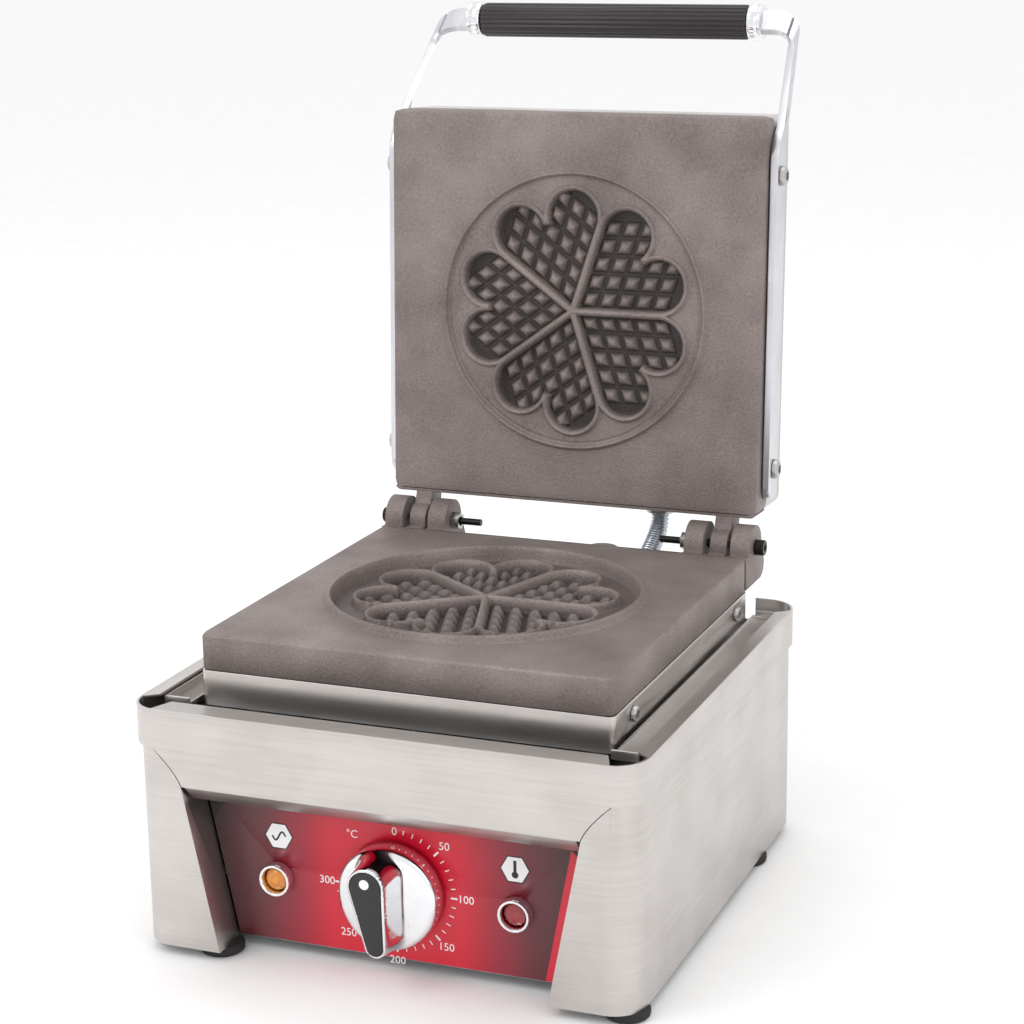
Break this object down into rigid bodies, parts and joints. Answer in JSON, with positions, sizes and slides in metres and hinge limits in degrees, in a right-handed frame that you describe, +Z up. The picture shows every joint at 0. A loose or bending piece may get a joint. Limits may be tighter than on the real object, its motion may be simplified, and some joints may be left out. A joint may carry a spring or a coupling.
{
  "type": "waffle maker",
  "caption": "Single-head electric waffle iron: steel cabinet, cast-iron heart-pattern plates on a rear hinge, fluted bail handle, thermostat knob and pilot lamps; lid open.",
  "frame": {"origin": "on the ground under the middle of the open appliance's box", "axes": "+Z up, the control panel faces -Y, +X to the user's right; at rest the lid is open on its stop"},
  "size_m": [0.305, 0.4214, 0.5156],
  "materials": {
    "stainless_sheet": "brushed stainless sheet, fine grain along each panel",
    "galvanised_sheet": "galvanised sheet, dull",
    "cast_iron": "bare sand-cast iron, seasoned, grainy sides",
    "foot_rubber": "moulded black rubber",
    "printed_film": "screen-printed film, red with dark sides",
    "plated_steel": "zinc-plated steel",
    "black_oxide_steel": "black oxide socket-head steel",
    "bail_steel": "zinc-plated flat bar, satin",
    "bright_chrome": "bright chrome plating",
    "grip_bakelite": "moulded black phenolic, polished",
    "black_nylon": "moulded black nylon",
    "amber_lens": "tinted clear lens, amber",
    "red_lens": "tinted clear lens, red",
    "element_sheath": "heat-darkened alloy tube",
    "mineral_wool": "pressed mineral wool board",
    "glazed_porcelain": "white electrical porcelain",
    "conduit_steel": "strip-wound flexible steel conduit"
  },
  "bodies": {
    "root": {"cabinet_shell": "stainless_sheet", "fascia_strip": "stainless_sheet", "control_panel": "stainless_sheet", "panel_overlay": "printed_film", "bottom_plate": "galvanised_sheet", "top_rim": "stainless_sheet", "deck_plate": "galvanised_sheet", "drip_channel_left": "stainless_sheet", "drip_channel_right": "stainless_sheet", "foot_front_left": "foot_rubber", "foot_front_right": "foot_rubber", "foot_rear_left": "foot_rubber", "foot_rear_right": "foot_rubber", "lower_shell": "stainless_sheet", "shell_screw_front_left": "plated_steel", "shell_screw_front_right": "plated_steel", "shell_screw_rear_left": "plated_steel", "shell_screw_rear_right": "plated_steel", "lower_plate": "cast_iron", "lower_heating_element": "element_sheath", "lower_clamp_plate": "galvanised_sheet", "lower_insulation": "mineral_wool", "plate_standoff_front_left": "plated_steel", "plate_standoff_front_right": "plated_steel", "plate_standoff_rear_left": "plated_steel", "plate_standoff_rear_right": "plated_steel", "hinge_bolt_left": "black_oxide_steel", "hinge_bolt_right": "black_oxide_steel", "hinge_nut_left": "plated_steel", "hinge_nut_right": "plated_steel", "thermostat_body": "glazed_porcelain", "thermostat_bulb": "plated_steel", "terminal_block": "glazed_porcelain", "mains_gland": "black_nylon", "power_lamp_bezel": "bright_chrome", "power_lamp_lens": "amber_lens", "heat_lamp_bezel": "bright_chrome", "heat_lamp_lens": "red_lens", "base_conduit_fitting": "plated_steel", "lid_conduit": "conduit_steel"},
    "lid": {"upper_plate": "cast_iron", "upper_shell": "stainless_sheet", "upper_heating_element": "element_sheath", "upper_clamp_plate": "galvanised_sheet", "upper_insulation": "mineral_wool", "lid_conduit_fitting": "plated_steel", "handle_bail": "bail_steel", "handle_grip": "grip_bakelite", "grip_cap_left": "bright_chrome", "grip_cap_right": "bright_chrome", "handle_bolt_rear_left": "plated_steel", "handle_bolt_rear_right": "plated_steel", "handle_bolt_front_left": "plated_steel", "handle_bolt_front_right": "plated_steel"},
    "knob": {"knob": "bright_chrome", "knob_insert": "grip_bakelite", "thermostat_spindle": "plated_steel"}
  },
  "joints": [
    {"name": "lid_hinge", "type": "hinge", "parent": "root", "child": "lid", "pos_m": [0, 0.10605, 0.1845], "axis": [1, 0, 0], "range_deg": [0, 93], "deforming": ["lid_conduit"]},
    {"name": "knob_turn", "type": "hinge", "parent": "root", "child": "knob", "pos_m": [0, -0.17495, 0.049], "axis": [0, 1, 0], "range_deg": [0, 278]}
  ]
}
